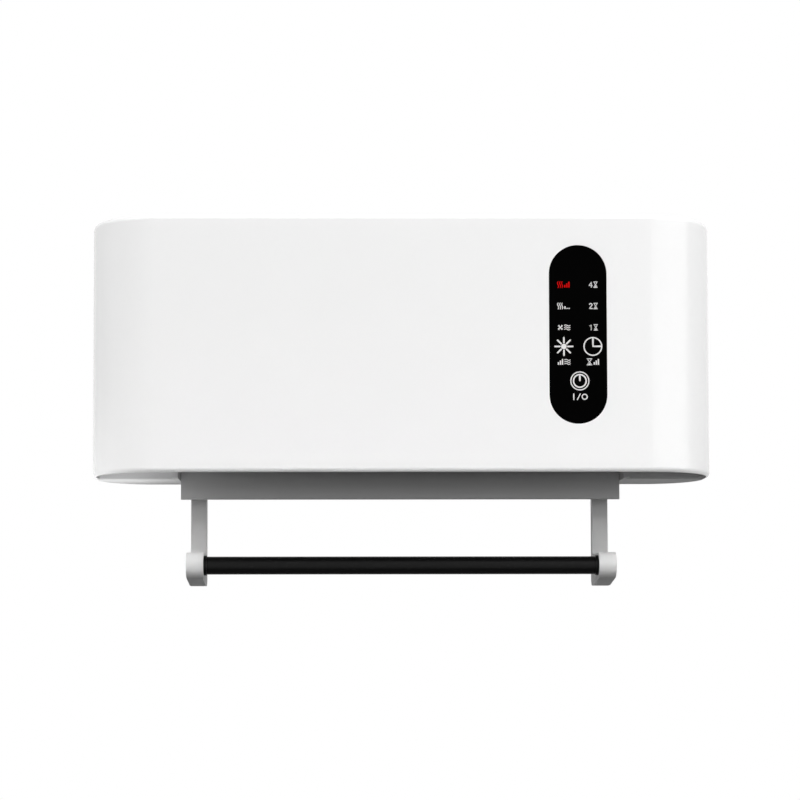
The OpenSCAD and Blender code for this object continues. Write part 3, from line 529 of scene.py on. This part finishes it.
marks = Marks()
marks.at(COLUMNS[0], ROWS[1], LABEL)
marks.waves(-PAIR, 3)
marks.bars(PAIR, 1)
marks.at(COLUMNS[0], ROWS[2], LABEL)
marks.vane(-PAIR)
marks.breeze(PAIR)
for row, numeral in enumerate((marks.four, marks.two, marks.one)):
    marks.at(COLUMNS[1], ROWS[row], SMALL)
    numeral(-HOUR_PAIR)
    marks.hourglass(HOUR_PAIR)
marks.at(COLUMNS[0], KEY_ROW)
marks.rays()
marks.at(CLOCK_X, KEY_ROW)
marks.clock()
marks.at(COLUMNS[0], LABEL_ROW, LABEL)
marks.bars(-PAIR, 3)
marks.breeze(PAIR)
marks.at(CLOCK_X, LABEL_ROW, LABEL)
marks.hourglass(-PAIR, 3.6)
marks.bars(PAIR, 3)
marks.at(*POWER_SPOT)
marks.power()
marks.at(*SWITCH_SPOT, LABEL)
marks.switch()
add_piece("lens_marks", marks.make("lens_marks"), "heater", "baffle_white", "glyph_white")

lit = Marks()
lit.at(COLUMNS[0], ROWS[0], LABEL)
lit.waves(-PAIR, 3)
lit.bars(PAIR, 3)
add_piece("lit_mark", lit.make("lit_mark"), "heater", "lamp_clear", "glyph_red")


# ---------------------------------------------------------------- stage and light

FLOOR_Z = -2.2
FLOOR_R = 3.0
FLOOR_PALE = ((0.86, 0.86, 0.86), (0.9, 0.9, 0.9))
FLOOR_BOUNCE = (0.24, 0.24, 0.24)
# strength of the fill from below and above, which blend while a direction's Z is within the edge
FILL_BELOW, FILL_ABOVE = 0.0256, 0.32
FILL_EDGE = 0.3
# the lamp that gloss mirrors, and the widths of the narrowed beams in degrees
IN_GLOSS = ("right_wall",)
BEAMS = {"low_front": 10, "near_left": 40, "under_left": 60}
OPEN_BEAM = 180


def make_floor():
    """A round floor, pale to the eye. The light that it gives back to the object is weaker."""
    bm = bmesh.new()
    bmesh.ops.create_circle(bm, cap_ends=True, radius=FLOOR_R, segments=96)
    mesh = bpy.data.meshes.new("floor")
    bm.to_mesh(mesh)
    bm.free()
    floor = bpy.data.objects.new("floor", mesh)
    floor.location.z = FLOOR_Z
    scene.collection.objects.link(floor)
    s = Shade("floor", level=0.2)
    seen = s.blend(s.span(s.noise(2, 3), 0, 1), *FLOOR_PALE)
    path = s.add("ShaderNodeLightPath")
    s.color(s.blend(path.outputs["Is Camera Ray"], FLOOR_BOUNCE, seen))
    s.rough(s.noise(3, 2), 0.75, 0.9)
    mesh.materials.append(s.mat)


def make_light(name, place, aim, size, watts):
    """A soft box. BEAMS narrows a lamp to so many degrees, and only IN_GLOSS lamps are mirrored."""
    lamp = bpy.data.lights.new(name, "AREA")
    lamp.shape = "RECTANGLE"
    lamp.size, lamp.size_y = size
    lamp.energy = watts
    lamp.spread = math.radians(BEAMS.get(name, OPEN_BEAM))
    obj = bpy.data.objects.new(name, lamp)
    obj.location = place
    obj.rotation_euler = (Vector(aim) - Vector(place)).to_track_quat("-Z", "Y").to_euler()
    obj.visible_camera = False
    obj.visible_glossy = name in IN_GLOSS
    scene.collection.objects.link(obj)


def make_world():
    """White to the eye, to gloss and through glass, and a dim fill from above for the rest."""
    world = bpy.data.worlds.new("studio")
    scene.world = world
    nodes = Nodes(world)
    path = nodes.add("ShaderNodeLightPath")
    white = path.outputs["Is Camera Ray"]
    for ray in ("Is Glossy Ray", "Is Transmission Ray"):
        either = nodes.add("ShaderNodeMath", operation="MAXIMUM")
        nodes.join(white, either.inputs[0])
        nodes.join(path.outputs[ray], either.inputs[1])
        white = either.outputs[0]
    direction = nodes.add("ShaderNodeSeparateXYZ")
    nodes.join(nodes.add("ShaderNodeTexCoord").outputs["Generated"], direction.inputs[0])
    fill = nodes.add("ShaderNodeMapRange")
    nodes.feed(fill, Value=direction.outputs["Z"], From_Min=-FILL_EDGE, From_Max=FILL_EDGE)
    nodes.feed(fill, To_Min=FILL_BELOW, To_Max=FILL_ABOVE)
    level = nodes.add("ShaderNodeMapRange")
    nodes.feed(level, Value=white, To_Min=fill.outputs[0], To_Max=1.0)
    back = nodes.add("ShaderNodeBackground")
    nodes.feed(back, Color=(1, 1, 1, 1), Strength=level.outputs[0])
    nodes.join(back.outputs[0], nodes.add("ShaderNodeOutputWorld").inputs[0])


# name, place, aim, size across and up, power
# under_left and near_left are small lamps close below the body's lower left corner
LIGHTS = (
    ("key", (-0.1, -2.0, 2.0), (0, -0.1, -0.05), (1.6, 0.9), 12.5),
    ("key_right", (1.6, -1.7, 1.7), (0, -0.1, -0.05), (1.0, 0.9), 13.2),
    ("key_left", (-1.7, -1.6, 1.6), (0, -0.1, -0.05), (1.0, 0.9), 22),
    ("top_right", (1.9, -0.7, 1.5), (0.15, -0.06, 0), (0.8, 0.8), 14),
    ("front", (0, -3.2, 0.4), (0, -0.1, 0), (2.6, 1.6), 20.5),
    ("right_wall", (1.35, -1.3, 0.62), (0.2, -0.08, 0), (2.3, 1.3), 12),
    ("left_box", (-1.9, -0.2, 0.6), (-0.2, -0.06, 0), (0.7, 1.1), 9),
    ("low_front", (0, -3.2, 0.8), (0, -0.1, -0.2), (2.6, 0.15), 0.3),
    ("under_left", (-0.22, -0.06, -0.17), (-0.215, -0.058, -0.09), (0.08, 0.08), 0.016),
    ("near_left", (-0.34, -0.1, -0.22), (-0.2, -0.05, -0.09), (0.06, 0.06), 0.0055),
    ("from_behind", (0.3, 2.4, 0.9), (0, 0, 0), (2.2, 1.6), 20),
)

make_floor()
make_world()
for facts in LIGHTS:
    make_light(*facts)
